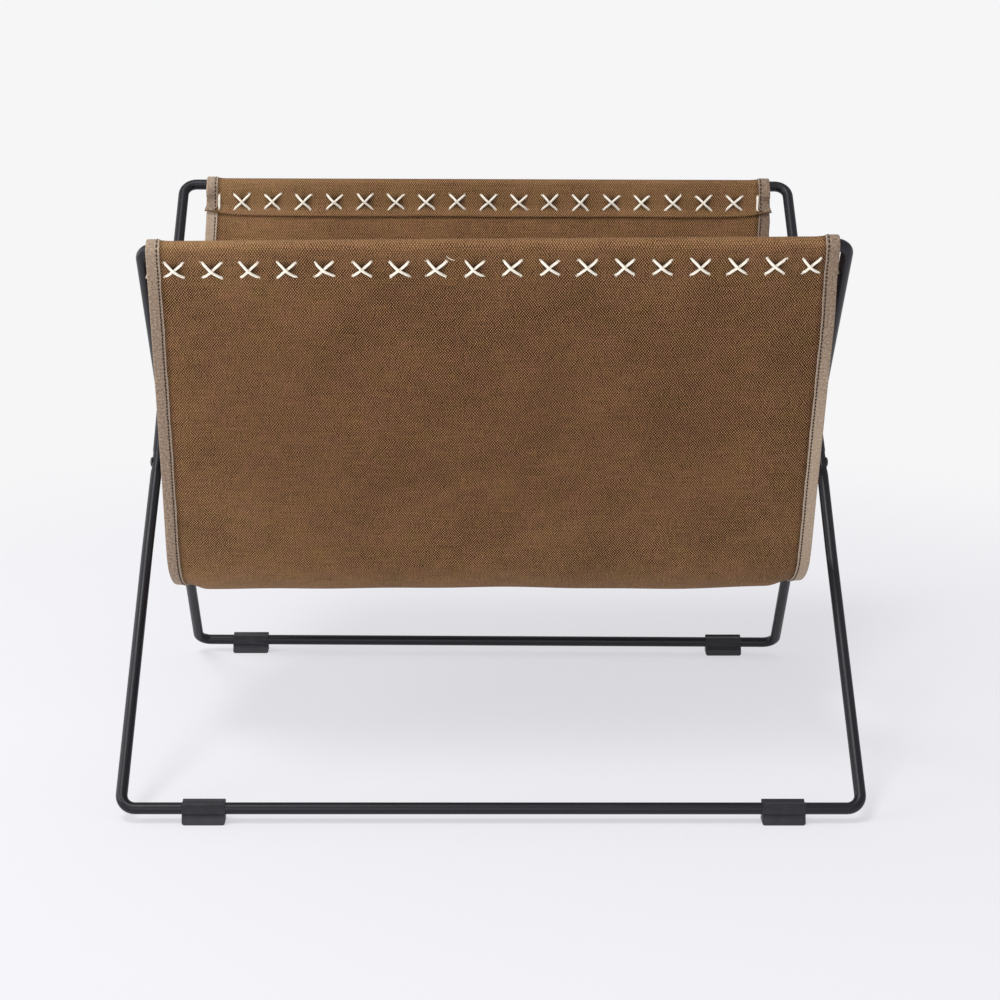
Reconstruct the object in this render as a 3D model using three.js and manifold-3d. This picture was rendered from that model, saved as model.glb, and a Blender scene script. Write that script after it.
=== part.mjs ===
// A folding magazine rack: two closed loops of bent rod, crossed like an X and riveted together at
// both sides, carry one long canvas panel that hangs between the two top bars as a deep pouch.
// Each end of the panel is folded in over its bar and laced down, and tape binds its long edges.
//
// Millimetres. X runs along the bars, +Y to the back, +Z up. The origin is on the floor under the
// middle of the rack.

import * as THREE from 'three';
import { mergeVertices } from 'three/addons/utils/BufferGeometryUtils.js';
import Module from 'manifold-3d';

const wasm = await Module();
wasm.setup();

// Rod frames. The wide loop runs from the front floor bar to the back top bar, and the narrow loop
// from the front top bar to the back floor bar. Half widths are at the pivot, to the rod's middle,
// and each leg leans outwards on its way down, so a loop is a little wider at its floor bar.
const rodDiameter = 6.35;
const wideHalfWidth = 200;
const narrowHalfWidth = 191.3;
const legSplay = 0.0235;
const floorBarReach = 150;
const topBarReach = 140.3;
const floorBarHeight = 8.42;
const topBarHeight = 320.5;
const bendRadius = 8;
const bendSteps = 5;
const rodSides = 16;

// Pivot: the rod is pressed flat around the rivet, and a spacer keeps the two loops apart.
const flatDepth = 0.5;
const flatLength = 10;
const shankRadius = 1.6;
const rivetHeadRadius = 3;
const rivetHeadHeight = 1.4;
const spacerRadius = 4.2;
const gap = 0.3;

// Clip feet: an upside-down channel that snaps over the floor bar.
const footLength = 24;
const footWidth = 8.8;
const footHeight = 12.5;
const footSpacing = 160.6;
const footCornerRadius = 1.6;

// Canvas panel: a round-bottomed pouch, straight sides and a sleeve round each top bar. Its half
// width is at the bars, and the spread is what it gains for each millimetre that it hangs lower.
const canvasThickness = 1;
const canvasHalfWidth = 181.9;
const canvasSpread = 0.00015;
const pouchRadius = 50;
const pouchBottom = 93.2;
const sleeveRadius = 5.6;
const flapLength = 20.4;
const flapSpacing = 1.4;
const pinchDistance = 4.6;

// Binding tape, folded round each long edge of the canvas.
const tapeWidth = 7.6;
const tapeThickness = 0.6;

// Lacing: a closed run of cord through pairs of eyelets, crossed on both faces of the hem.
const cordRadius = 0.62;
const eyeletPairs = 36;
const eyeletPitch = 9.96;
const eyeletSize = 1.9;
const upperRow = 6.2;
const lowerRow = 15.8;

const rodRadius = rodDiameter / 2;
const legRise = topBarHeight - floorBarHeight;
const legRun = topBarReach + floorBarReach;
const legAngle = Math.atan2(legRise, legRun);
const lowerLeg = floorBarReach / Math.cos(legAngle);
const upperLeg = topBarReach / Math.cos(legAngle);
const pivotHeight = floorBarHeight + legRise * floorBarReach / legRun;

const rack = new THREE.Group();

const finish = {
  rod: new THREE.MeshStandardMaterial({ color: 0x2d2d2f, roughness: 0.45, metalness: 0.1 }),
  rivet: new THREE.MeshStandardMaterial({ color: 0x303033, roughness: 0.4, metalness: 0.6 }),
  spacer: new THREE.MeshStandardMaterial({ color: 0x222224, roughness: 0.6, metalness: 0 }),
  foot: new THREE.MeshStandardMaterial({ color: 0x35363a, roughness: 0.65, metalness: 0 }),
  canvas: new THREE.MeshStandardMaterial({ color: 0x72563c, roughness: 0.9, metalness: 0 }),
  tape: new THREE.MeshStandardMaterial({ color: 0xa5927f, roughness: 0.9, metalness: 0 }),
  cord: new THREE.MeshStandardMaterial({ color: 0xe4dccb, roughness: 0.85, metalness: 0 }),
};

// A closed geometry as a solid that can be joined and cut.
function solid(geometry) {
  const bare = geometry.index ? geometry.clone() : geometry;
  bare.deleteAttribute('normal');
  bare.deleteAttribute('uv');
  const merged = mergeVertices(bare, 1e-4);
  return new wasm.Manifold(new wasm.Mesh({
    numProp: 3,
    vertProperties: new Float32Array(merged.attributes.position.array),
    triVerts: new Uint32Array(merged.index.array),
  }));
}

// The solid as a geometry again.
function surface(body) {
  const { vertProperties, triVerts } = body.getMesh();
  const geometry = new THREE.BufferGeometry();
  geometry.setAttribute('position', new THREE.BufferAttribute(vertProperties, 3));
  geometry.setIndex(new THREE.BufferAttribute(triVerts, 1));
  return geometry;
}

function addPiece(name, geometry, material) {
  const piece = new THREE.Mesh(geometry, material);
  piece.name = name;
  rack.add(piece);
  return piece;
}

// A closed run through stations. A sweep puts one ring at each station and none in between.
class ClosedRun extends THREE.Curve {
  constructor(stations) {
    super();
    this.stations = stations;
  }

  station(index) {
    const count = this.stations.length;
    return this.stations[(index + count) % count];
  }

  getPointAt(t, target = new THREE.Vector3()) {
    return target.copy(this.station(Math.round(t * this.stations.length)));
  }

  getTangentAt(t, target = new THREE.Vector3()) {
    const index = Math.round(t * this.stations.length);
    const arriving = this.station(index).clone().sub(this.station(index - 1)).normalize();
    const leaving = this.station(index + 1).clone().sub(this.station(index)).normalize();
    return target.copy(arriving).add(leaving).normalize();
  }

  tube(radius, sides) {
    return new THREE.TubeGeometry(this, this.stations.length, radius, sides, true);
  }
}

function arc(centre, radius, from, to, steps) {
  const points = [];
  for (let step = 0; step <= steps; step += 1) {
    const angle = from + (to - from) * step / steps;
    points.push(new THREE.Vector2(
      centre.x + radius * Math.cos(angle),
      centre.y + radius * Math.sin(angle),
    ));
  }
  return points;
}

// An outline in the Y-Z plane, drawn out along X from one place to another.
function extrudeAlongX(outline, fromX, toX) {
  const geometry = new THREE.ExtrudeGeometry(new THREE.Shape(outline), {
    depth: toX - fromX,
    bevelEnabled: false,
  });
  const toWorld = new THREE.Matrix4().makeBasis(
    new THREE.Vector3(0, 1, 0),
    new THREE.Vector3(0, 0, 1),
    new THREE.Vector3(1, 0, 0),
  );
  geometry.applyMatrix4(toWorld);
  geometry.translate(fromX, 0, 0);
  return geometry;
}

// A round bar lying along X.
function barAlongX(radius, fromX, toX) {
  const bar = new THREE.CylinderGeometry(radius, radius, toX - fromX, rodSides);
  bar.rotateZ(Math.PI / 2);
  bar.translate((fromX + toX) / 2, 0, 0);
  return bar;
}

// ---- Rod frames ----

// The loop lies in its own X-Y plane, with the pivot line along X and the top bar at +Y. Its four
// bends run on from the leaning legs to the level bars.
function loopStations(halfWidth) {
  const lean = Math.atan(legSplay);
  const inset = bendRadius / Math.cos(lean);
  const bendX = (y) => halfWidth - legSplay * y - inset;
  const topY = upperLeg - bendRadius;
  const floorY = bendRadius - lowerLeg;
  const bends = [
    { x: bendX(topY), y: topY, from: lean, to: 0.5 * Math.PI },
    { x: -bendX(topY), y: topY, from: 0.5 * Math.PI, to: Math.PI - lean },
    { x: -bendX(floorY), y: floorY, from: Math.PI - lean, to: 1.5 * Math.PI },
    { x: bendX(floorY), y: floorY, from: 1.5 * Math.PI, to: 2 * Math.PI + lean },
  ];
  return bends.flatMap(({ x, y, from, to }) => (
    arc(new THREE.Vector2(x, y), bendRadius, from, to, bendSteps)
      .map((point) => new THREE.Vector3(point.x, point.y, 0))
  ));
}

// What the press leaves flat on one face of a leg: a shallow notch with sloping ends.
function flatCutter(legX, face) {
  const deep = rodRadius - flatDepth;
  const proud = rodRadius + 1;
  const slope = 1.8 * (proud - deep);
  const notch = new THREE.Shape([
    new THREE.Vector2(deep, -flatLength / 2),
    new THREE.Vector2(proud, -flatLength / 2 - slope),
    new THREE.Vector2(proud, flatLength / 2 + slope),
    new THREE.Vector2(deep, flatLength / 2),
  ]);
  const cutter = new THREE.ExtrudeGeometry(notch, { depth: 2 * rodDiameter, bevelEnabled: false });
  cutter.translate(0, 0, -rodDiameter);
  if (face < 0) cutter.rotateY(Math.PI);
  cutter.translate(legX, 0, 0);
  return solid(cutter);
}

function rodLoop(halfWidth) {
  let loop = solid(new ClosedRun(loopStations(halfWidth)).tube(rodRadius, rodSides));
  for (const legX of [-halfWidth, halfWidth]) {
    loop = loop.subtract(flatCutter(legX, 1)).subtract(flatCutter(legX, -1));
    const drill = barAlongX(shankRadius + gap, legX - rodDiameter, legX + rodDiameter);
    loop = loop.subtract(solid(drill));
  }
  return surface(loop);
}

const wideFrame = addPiece('wide_frame', rodLoop(wideHalfWidth), finish.rod);
wideFrame.rotation.x = legAngle;
wideFrame.position.z = pivotHeight;

const narrowFrame = addPiece('narrow_frame', rodLoop(narrowHalfWidth), finish.rod);
narrowFrame.rotation.x = Math.PI - legAngle;
narrowFrame.position.z = pivotHeight;

// ---- Pivots ----

const flatHalfThickness = rodRadius - flatDepth;
const tailX = narrowHalfWidth - flatHalfThickness - gap;
const headX = wideHalfWidth + flatHalfThickness + gap;
const tailHeight = 1;

// The rivet is turned about Y, with its formed tail at the bottom and its head at the top.
function rivet() {
  const tailRadius = rivetHeadRadius - 0.4;
  return new THREE.LatheGeometry([
    new THREE.Vector2(0, tailX - tailHeight),
    new THREE.Vector2(tailRadius * 0.6, tailX - tailHeight * 0.9),
    new THREE.Vector2(tailRadius, tailX - tailHeight * 0.4),
    new THREE.Vector2(tailRadius, tailX),
    new THREE.Vector2(shankRadius, tailX),
    new THREE.Vector2(shankRadius, headX),
    new THREE.Vector2(rivetHeadRadius, headX),
    new THREE.Vector2(rivetHeadRadius, headX + rivetHeadHeight * 0.35),
    new THREE.Vector2(rivetHeadRadius * 0.65, headX + rivetHeadHeight * 0.85),
    new THREE.Vector2(0, headX + rivetHeadHeight),
  ], rodSides);
}

function spacer() {
  const innerX = narrowHalfWidth + flatHalfThickness + gap;
  const outerX = wideHalfWidth - flatHalfThickness - gap;
  return new THREE.LatheGeometry([
    new THREE.Vector2(shankRadius + gap, innerX),
    new THREE.Vector2(spacerRadius, innerX),
    new THREE.Vector2(spacerRadius, outerX),
    new THREE.Vector2(shankRadius + gap, outerX),
    new THREE.Vector2(shankRadius + gap, innerX),
  ], rodSides);
}

for (const [side, turn] of [['left', Math.PI / 2], ['right', -Math.PI / 2]]) {
  const rivetPiece = addPiece(`pivot_rivet_${side}`, rivet(), finish.rivet);
  const spacerPiece = addPiece(`pivot_spacer_${side}`, spacer(), finish.spacer);
  for (const piece of [rivetPiece, spacerPiece]) {
    piece.rotation.z = turn;
    piece.position.z = pivotHeight;
  }
}

// ---- Clip feet ----

// The channel seen from the end, with the bar's centre above the middle of the floor line.
function footSection() {
  const half = footWidth / 2;
  const bore = rodRadius + gap;
  const lip = bore - 0.7;
  const lipZ = floorBarHeight - 3.4;
  const lipHalfHeight = 0.3;
  const lipSlope = 1;
  const chamfer = 0.4;
  const right = [
    [bore, floorBarHeight + bore],
    [bore, lipZ + lipHalfHeight + lipSlope],
    [lip, lipZ + lipHalfHeight],
    [lip, lipZ - lipHalfHeight],
    [bore, lipZ - lipHalfHeight - lipSlope],
    [bore, 0],
    [half, 0],
    [half, footHeight - chamfer],
    [half - chamfer, footHeight],
  ];
  const left = right.map(([y, z]) => [-y, z]).reverse();
  return [...right, ...left].map(([y, z]) => new THREE.Vector2(y, z));
}

// The channel seen from the front, with its lower corners rounded off.
function footFace() {
  const half = footLength / 2;
  const face = new THREE.Shape();
  face.moveTo(-half, footHeight + 1);
  face.lineTo(-half, footCornerRadius);
  face.absarc(-half + footCornerRadius, footCornerRadius, footCornerRadius, Math.PI, 1.5 * Math.PI);
  face.absarc(half - footCornerRadius, footCornerRadius, footCornerRadius, 1.5 * Math.PI, 2 * Math.PI);
  face.lineTo(half, footHeight + 1);
  const block = new THREE.ExtrudeGeometry(face, {
    depth: 2 * footWidth,
    bevelEnabled: false,
    curveSegments: 4,
  });
  block.rotateX(Math.PI / 2);
  block.translate(0, footWidth, 0);
  return block;
}

function foot() {
  const channel = solid(extrudeAlongX(footSection(), -footLength / 2, footLength / 2));
  return surface(channel.intersect(solid(footFace())));
}

for (const [row, y] of [['front', -floorBarReach], ['back', floorBarReach]]) {
  for (const [side, x] of [['left', -footSpacing], ['right', footSpacing]]) {
    addPiece(`foot_${row}_${side}`, foot(), finish.foot).position.set(x, y, 0);
  }
}

// ---- Canvas panel ----

// The cross-section of the front half, in Y and Z. The panel is tangent to the pouch's round
// bottom and to the sleeve round the bar. The back half is its mirror image.
const bar = new THREE.Vector2(-topBarReach, topBarHeight);
const pouchCentre = new THREE.Vector2(0, pouchBottom + pouchRadius);
const rise = bar.clone().sub(pouchCentre);
const normalAngle = rise.angle() + Math.acos((pouchRadius - sleeveRadius) / rise.length());
const outward = new THREE.Vector2(Math.cos(normalAngle), Math.sin(normalAngle));
const down = new THREE.Vector2(-outward.y, outward.x);

// A point of the hem: so far down the panel from the bar, so far out from the panel's middle.
function hemPoint(along, offset) {
  return bar.clone().addScaledVector(down, along).addScaledVector(outward, sleeveRadius + offset);
}

// The middle line of the canvas, from the loose end of the front flap to that of the back flap.
const pinch = hemPoint(pinchDistance, -flapSpacing);
const toPinch = pinch.clone().sub(bar);
const leaveAngle = toPinch.angle() + Math.acos(sleeveRadius / toPinch.length()) - 2 * Math.PI;
const flap = [hemPoint(flapLength, -flapSpacing), pinch];
const sleeve = arc(bar, sleeveRadius, leaveAngle, normalAngle, 14);
const pouch = arc(pouchCentre, pouchRadius, normalAngle, 1.5 * Math.PI, 6);

function withBackHalf(points) {
  const back = points.slice(0, -1).map((point) => new THREE.Vector2(-point.x, point.y));
  return [...points, ...back.reverse()];
}

const canvasLine = withBackHalf([...flap, ...sleeve, ...pouch]);
const pouchLine = withBackHalf([hemPoint(flapLength + 1, 0), ...pouch]);

// The line moved sideways, outwards where the distance is positive, with mitred corners.
function offsetLine(line, distance) {
  return line.map((point, index) => {
    const before = line[Math.max(index - 1, 0)];
    const after = line[Math.min(index + 1, line.length - 1)];
    const arriving = point.clone().sub(before).normalize();
    const leaving = after.clone().sub(point).normalize();
    const heading = arriving.clone().add(leaving).normalize();
    const squareTo = index === 0 ? leaving : arriving;
    const reach = distance / heading.dot(squareTo);
    return new THREE.Vector2(point.x + heading.y * reach, point.y - heading.x * reach);
  });
}

// A strip of cloth that follows the line between two offsets, from one X to another.
function strip(line, inner, outer, fromX, toX) {
  const outline = [...offsetLine(line, outer), ...offsetLine(line, inner).reverse()];
  return solid(extrudeAlongX(outline, fromX, toX));
}

// The cloth as it hangs: wider the lower it is.
function spread(body) {
  return body.warp((vertex) => {
    vertex[0] *= 1 + canvasSpread * (topBarHeight - vertex[2]);
  });
}

const eyeletX = (index) => (index - (eyeletPairs - 1) / 2) * eyeletPitch;

// One hem's eyelets: square prisms that pass through the panel and the flap. Side is 1 at the
// front and -1 at the back.
function eyeletCutters(side) {
  const cutters = [];
  for (let index = 0; index < eyeletPairs; index += 1) {
    for (const row of [upperRow, lowerRow]) {
      const centre = hemPoint(row, -flapSpacing / 2);
      const punch = new THREE.BoxGeometry(eyeletSize, eyeletSize, 6);
      punch.rotateX(side * (normalAngle - Math.PI / 2));
      punch.translate(eyeletX(index), side * centre.x, centre.y);
      cutters.push(solid(punch));
    }
  }
  return cutters;
}

const halfCanvas = canvasThickness / 2;
const cloth = strip(canvasLine, -halfCanvas, halfCanvas, -canvasHalfWidth, canvasHalfWidth);
const punched = [...eyeletCutters(1), ...eyeletCutters(-1)].reduce(
  (body, cutter) => body.subtract(cutter),
  spread(cloth),
);
addPiece('sling_canvas', surface(punched), finish.canvas);

// ---- Binding tape ----

// The tape covers the outer face all the way round, and the edge and the inner face between the
// flaps. The edge stays bare round each sleeve, where the rod bends away inside it.
function binding(side) {
  const nearFace = halfCanvas + gap;
  const farFace = nearFace + tapeThickness;
  const edgeX = canvasHalfWidth + gap;
  const outsideX = edgeX + tapeThickness;
  const insideX = outsideX - tapeWidth;
  const span = (from, to) => (side > 0 ? [from, to] : [-to, -from]);
  const tape = strip(canvasLine, nearFace, farFace, ...span(insideX, outsideX))
    .add(strip(pouchLine, -farFace, -nearFace, ...span(insideX, outsideX)))
    .add(strip(pouchLine, -farFace, farFace, ...span(edgeX, outsideX)));
  return surface(spread(tape));
}

addPiece('edge_binding_left', binding(-1), finish.tape);
addPiece('edge_binding_right', binding(1), finish.tape);

// ---- Lacing ----

// The cord zigzags out along one hem and back along it, so each pair of runs makes a cross, on the
// outside between the first and second eyelets, on the inside between the second and third, and
// so on. The outgoing run lies on top on the outside and the returning run on the inside, and a
// straight stitch closes each end.
function lacingStations(side) {
  const stations = [];
  const clear = halfCanvas + gap + cordRadius;
  const faces = { outside: clear, inside: -flapSpacing - clear };
  const hop = 2.2 * cordRadius;
  const middleRow = (upperRow + lowerRow) / 2;

  const place = (index, row, offset) => {
    const point = hemPoint(row, offset);
    stations.push(new THREE.Vector3(eyeletX(index), side * point.x, point.y));
  };

  for (let index = 0; index < eyeletPairs; index += 1) {
    const goesOut = index % 2 === 0;
    const row = goesOut ? upperRow : lowerRow;
    place(index, row, goesOut ? faces.inside : faces.outside);
    place(index, row, goesOut ? faces.outside : faces.inside);
    if (goesOut) place(index + 0.5, middleRow, faces.outside + hop);
  }
  for (let index = eyeletPairs - 1; index >= 0; index -= 1) {
    const goesOut = index % 2 === 1;
    const row = goesOut ? upperRow : lowerRow;
    place(index, row, goesOut ? faces.inside : faces.outside);
    place(index, row, goesOut ? faces.outside : faces.inside);
    if (!goesOut && index > 0) place(index - 0.5, middleRow, faces.inside - hop);
  }
  return stations;
}

for (const [row, side] of [['front', 1], ['back', -1]]) {
  const run = new ClosedRun(lacingStations(side));
  addPiece(`lacing_cord_${row}`, surface(solid(run.tube(cordRadius, 4))), finish.cord);
}

export default rack;
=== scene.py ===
"""A folding magazine rack: two crossed rod frames riveted together, and a laced canvas sling."""

import math
import random

import bmesh
import bpy
from mathutils import Matrix, Vector


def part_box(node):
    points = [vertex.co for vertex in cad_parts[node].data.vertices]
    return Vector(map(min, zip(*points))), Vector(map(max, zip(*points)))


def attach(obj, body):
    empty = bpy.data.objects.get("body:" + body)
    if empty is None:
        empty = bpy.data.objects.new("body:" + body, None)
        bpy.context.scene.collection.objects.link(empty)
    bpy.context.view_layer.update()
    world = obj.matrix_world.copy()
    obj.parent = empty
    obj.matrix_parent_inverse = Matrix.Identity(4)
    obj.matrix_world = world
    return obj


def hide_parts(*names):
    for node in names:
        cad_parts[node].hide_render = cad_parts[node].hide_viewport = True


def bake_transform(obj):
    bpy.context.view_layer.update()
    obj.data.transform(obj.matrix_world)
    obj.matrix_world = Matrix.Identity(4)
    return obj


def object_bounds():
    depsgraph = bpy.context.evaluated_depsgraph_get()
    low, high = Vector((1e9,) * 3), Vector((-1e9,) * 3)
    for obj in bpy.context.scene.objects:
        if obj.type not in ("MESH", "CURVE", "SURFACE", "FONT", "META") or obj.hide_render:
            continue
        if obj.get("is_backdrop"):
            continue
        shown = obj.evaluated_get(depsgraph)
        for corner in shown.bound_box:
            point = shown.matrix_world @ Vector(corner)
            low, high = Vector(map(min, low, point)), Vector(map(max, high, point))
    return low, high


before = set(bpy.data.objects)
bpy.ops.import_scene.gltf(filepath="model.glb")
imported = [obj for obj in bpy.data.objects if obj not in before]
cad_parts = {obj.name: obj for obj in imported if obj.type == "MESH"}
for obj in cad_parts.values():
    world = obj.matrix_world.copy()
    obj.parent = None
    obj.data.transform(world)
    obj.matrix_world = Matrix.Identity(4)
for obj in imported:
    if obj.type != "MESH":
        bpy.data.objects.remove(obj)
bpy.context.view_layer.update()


# ---- Camera ----
# A long lens stands 1.3 m in front of the rack's middle, a little above it and almost square to it,
# as for a shop picture, and looks down at it by 13 degrees.

mm = 0.001
look_down = 12.87

camera_data = bpy.data.cameras.new("camera")
camera_data.sensor_width = 36
camera_data.lens = 80.84
camera_data.shift_x = 0.0435
camera_data.shift_y = -0.06
camera = bpy.data.objects.new("camera", camera_data)
camera.location = (-18.7 * mm, -1316.2 * mm, 484 * mm)
camera.rotation_euler = (math.radians(90 - look_down), 0.0001, 0.0007)
bpy.context.scene.collection.objects.link(camera)
bpy.context.scene.camera = camera


# ---- Floor and light ----
# A seamless sheet of matt white paper runs away behind the rack. A soft lamp hangs high at the front
# left, two more fill the front and the left side, a low one lights the rods' edges from the left, and
# a bright room lifts the rest.

def linear(colour):
    """An sRGB hex colour as the linear values that a shader takes."""
    shares = [int(colour[place:place + 2], 16) / 255 for place in (0, 2, 4)]
    return [s / 12.92 if s <= 0.04045 else ((s + 0.055) / 1.055) ** 2.4 for s in shares] + [1.0]


def add_node(tree, kind, inputs=None, **settings):
    """Adds one shader node, with its settings, and with its inputs set or linked."""
    node = tree.nodes.new("ShaderNode" + kind)
    for name, value in settings.items():
        setattr(node, name, value)
    for name, value in (inputs or {}).items():
        if isinstance(value, bpy.types.NodeSocket):
            tree.links.new(value, node.inputs[name])
        else:
            node.inputs[name].default_value = value
    return node


def empty_material(name):
    """A material without nodes, and its node tree."""
    material = bpy.data.materials.new(name)
    material.use_nodes = True
    material.node_tree.nodes.clear()
    return material, material.node_tree


def finished_piece(name, bm, *materials):
    """The modelled mesh as a smooth object that sits at the origin."""
    mesh = bpy.data.meshes.new(name)
    bm.to_mesh(mesh)
    bm.free()
    mesh.shade_smooth()
    for material in materials:
        mesh.materials.append(material)
    piece = bpy.data.objects.new(name, mesh)
    bpy.context.scene.collection.objects.link(piece)
    return piece


scene = bpy.context.scene
scene.view_settings.view_transform = "Standard"

# Matt paper: it takes the rack's shadow, and where it is seen further out its own white takes over.
# The change lies between these two distances, in metres.
shadow_reach, white_reach = 0.3, 0.85
paper, tree = empty_material("matt_white_paper")
place = add_node(tree, "TexCoord")
far = add_node(tree, "VectorMath", {0: place.outputs["Object"]}, operation="LENGTH")
fade = add_node(tree, "MapRange", {"Value": far.outputs["Value"], "From Min": shadow_reach,
                                   "From Max": white_reach}, interpolation_type="SMOOTHSTEP")
near_tone = add_node(tree, "Mix", {0: fade.outputs[0], 6: linear("eeeef4"), 7: linear("f6f6f7")},
                     data_type="RGBA")
lit = add_node(tree, "BsdfDiffuse", {"Color": linear("f0f0f3")})
plain = add_node(tree, "Emission", {"Color": near_tone.outputs[2], "Strength": 1.0})
ray = add_node(tree, "LightPath")
seen = add_node(tree, "Math", {0: ray.outputs["Is Camera Ray"], 1: ray.outputs["Is Glossy Ray"]},
                operation="MAXIMUM")
seen = add_node(tree, "Math", {0: seen.outputs[0], 1: ray.outputs["Is Transmission Ray"]},
                operation="MAXIMUM")
lift = add_node(tree, "MapRange", {"Value": fade.outputs[0], "To Min": 0.62, "To Max": 1.0})
share = add_node(tree, "Math", {0: seen.outputs[0], 1: lift.outputs[0]}, operation="MULTIPLY")
surface = add_node(tree, "MixShader", {0: share.outputs[0], 1: lit.outputs[0], 2: plain.outputs[0]})
add_node(tree, "OutputMaterial", {"Surface": surface.outputs[0]})

bm = bmesh.new()
bmesh.ops.create_circle(bm, cap_ends=True, segments=64, radius=40)
floor = finished_piece("paper_floor", bm, paper)
floor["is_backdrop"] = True

world = bpy.data.worlds.new("bright_room")
world.use_nodes = True
world.node_tree.nodes.clear()
ray = add_node(world.node_tree, "LightPath")
room = add_node(world.node_tree, "Background", {"Color": linear("ffffff"), "Strength": 0.53})
beyond = add_node(world.node_tree, "Background", {"Color": linear("f6f6f7"), "Strength": 1.0})
surface = add_node(world.node_tree, "MixShader", {0: ray.outputs["Is Camera Ray"],
                                                   1: room.outputs[0], 2: beyond.outputs[0]})
add_node(world.node_tree, "OutputWorld", {"Surface": surface.outputs[0]})
scene.world = world

for name, place, width, watts in (("high_lamp", (-0.9, -1.05, 3.0), 0.8, 42),
                                  ("front_lamp", (-0.3, -2.4, 0.6), 1.5, 16),
                                  ("side_lamp", (-1.8, -0.8, 1.0), 0.8, 11),
                                  ("edge_lamp", (-1.5, 0.3, 0.45), 1.2, 7)):
    lamp_data = bpy.data.lights.new(name, "AREA")
    lamp_data.size = width
    lamp_data.energy = watts
    lamp = bpy.data.objects.new(name, lamp_data)
    lamp.location = place
    lamp.visible_camera = False
    lamp.rotation_euler = (Vector((0, 0, 0.2)) - lamp.location).to_track_quat("-Z", "Y").to_euler()
    scene.collection.objects.link(lamp)


# ---- Rod frames ----
# Two closed loops of 6.35 mm mild steel rod, bent tightly round at the corners, butt welded and
# dressed, and powder coated black. Each leg is pressed flat where its rivet goes through, and the
# frames were bent by hand, so that they stand a little out of level, out of true and askew.

rod_radius = 3.175 * mm
coat_thickness = 0.12 * mm
rod_sides = 28
bend_radius = 8 * mm
bend_steps = 9
press_depth = 0.5 * mm
press_length = 5 * mm
press_shoulder = 4 * mm
press_widening = 0.1

leg_splay = math.atan(0.0235)

spacer_low, spacer_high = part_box("pivot_spacer_right")
narrow_low, narrow_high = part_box("narrow_frame")
pivot = Vector((0, 0, (spacer_low.z + spacer_high.z) / 2))
front_bar = Vector((0, narrow_low.y + rod_radius, narrow_high.z - rod_radius))
floor_bar = Vector((0, narrow_high.y - rod_radius, narrow_low.z + rod_radius))
upper_leg = (front_bar - pivot).length
lower_leg = (floor_bar - pivot).length
leg_lean = math.atan2(front_bar.z - pivot.z, -front_bar.y)

# Powder coat sprayed on dry and baked: near black, satin, in faint patches, with a fine orange peel.
coat_patch = 28.6 * mm
orange_peel = 1.11 * mm
powder_coat, tree = empty_material("powder_coated_steel")
place = add_node(tree, "TexCoord")
blotch = add_node(tree, "TexNoise", {"Vector": place.outputs["Object"], "Scale": 1 / coat_patch,
                                     "Detail": 3})
peel = add_node(tree, "TexNoise", {"Vector": place.outputs["Object"], "Scale": 1 / orange_peel,
                                   "Detail": 1})
tone = add_node(tree, "Mix", {0: blotch.outputs["Fac"], 6: linear("17161c"), 7: linear("1f1e25")},
                data_type="RGBA")
gloss = add_node(tree, "MapRange", {"Value": blotch.outputs["Fac"], "From Min": 0.3, "From Max": 0.7,
                                    "To Min": 0.34, "To Max": 0.42})
relief = add_node(tree, "Bump", {"Height": peel.outputs["Fac"], "Strength": 0.25,
                                 "Distance": 0.06 * mm})
shader = add_node(tree, "BsdfPrincipled", {
    "Base Color": tone.outputs[2], "Roughness": gloss.outputs[0], "IOR": 1.5,
    "Specular IOR Level": 0.27, "Normal": relief.outputs[0],
})
add_node(tree, "OutputMaterial", {"Surface": shader.outputs[0]})


def smooth_step(value, low, high):
    """0 below low, 1 above high, and a soft change between."""
    share = min(max((value - low) / (high - low), 0), 1)
    return share * share * (3 - 2 * share)


def out_of_level(across, front):
    """How far a top bar stands out of level, at a place along it: neither frame is quite square."""
    way_out = across / (190 * mm)
    return 1.35 * mm * way_out - 0.65 * mm if front else -0.65 * mm * way_out


def askew(across):
    """How far forward of its place the back floor bar stands, at a place along it."""
    return 0.6 * mm + 3 * mm * across / (180 * mm)


def drawn_on(bm, edges, heading, lengths):
    """The open end of a tube drawn on along a straight line, in the lengths given."""
    for length in lengths:
        made = bmesh.ops.extrude_edge_only(bm, edges=edges)["geom"]
        verts = [part for part in made if isinstance(part, bmesh.types.BMVert)]
        bmesh.ops.translate(bm, verts=verts, vec=heading * length)
        edges = [part for part in made if isinstance(part, bmesh.types.BMEdge) and part.is_boundary]
    return edges


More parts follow.
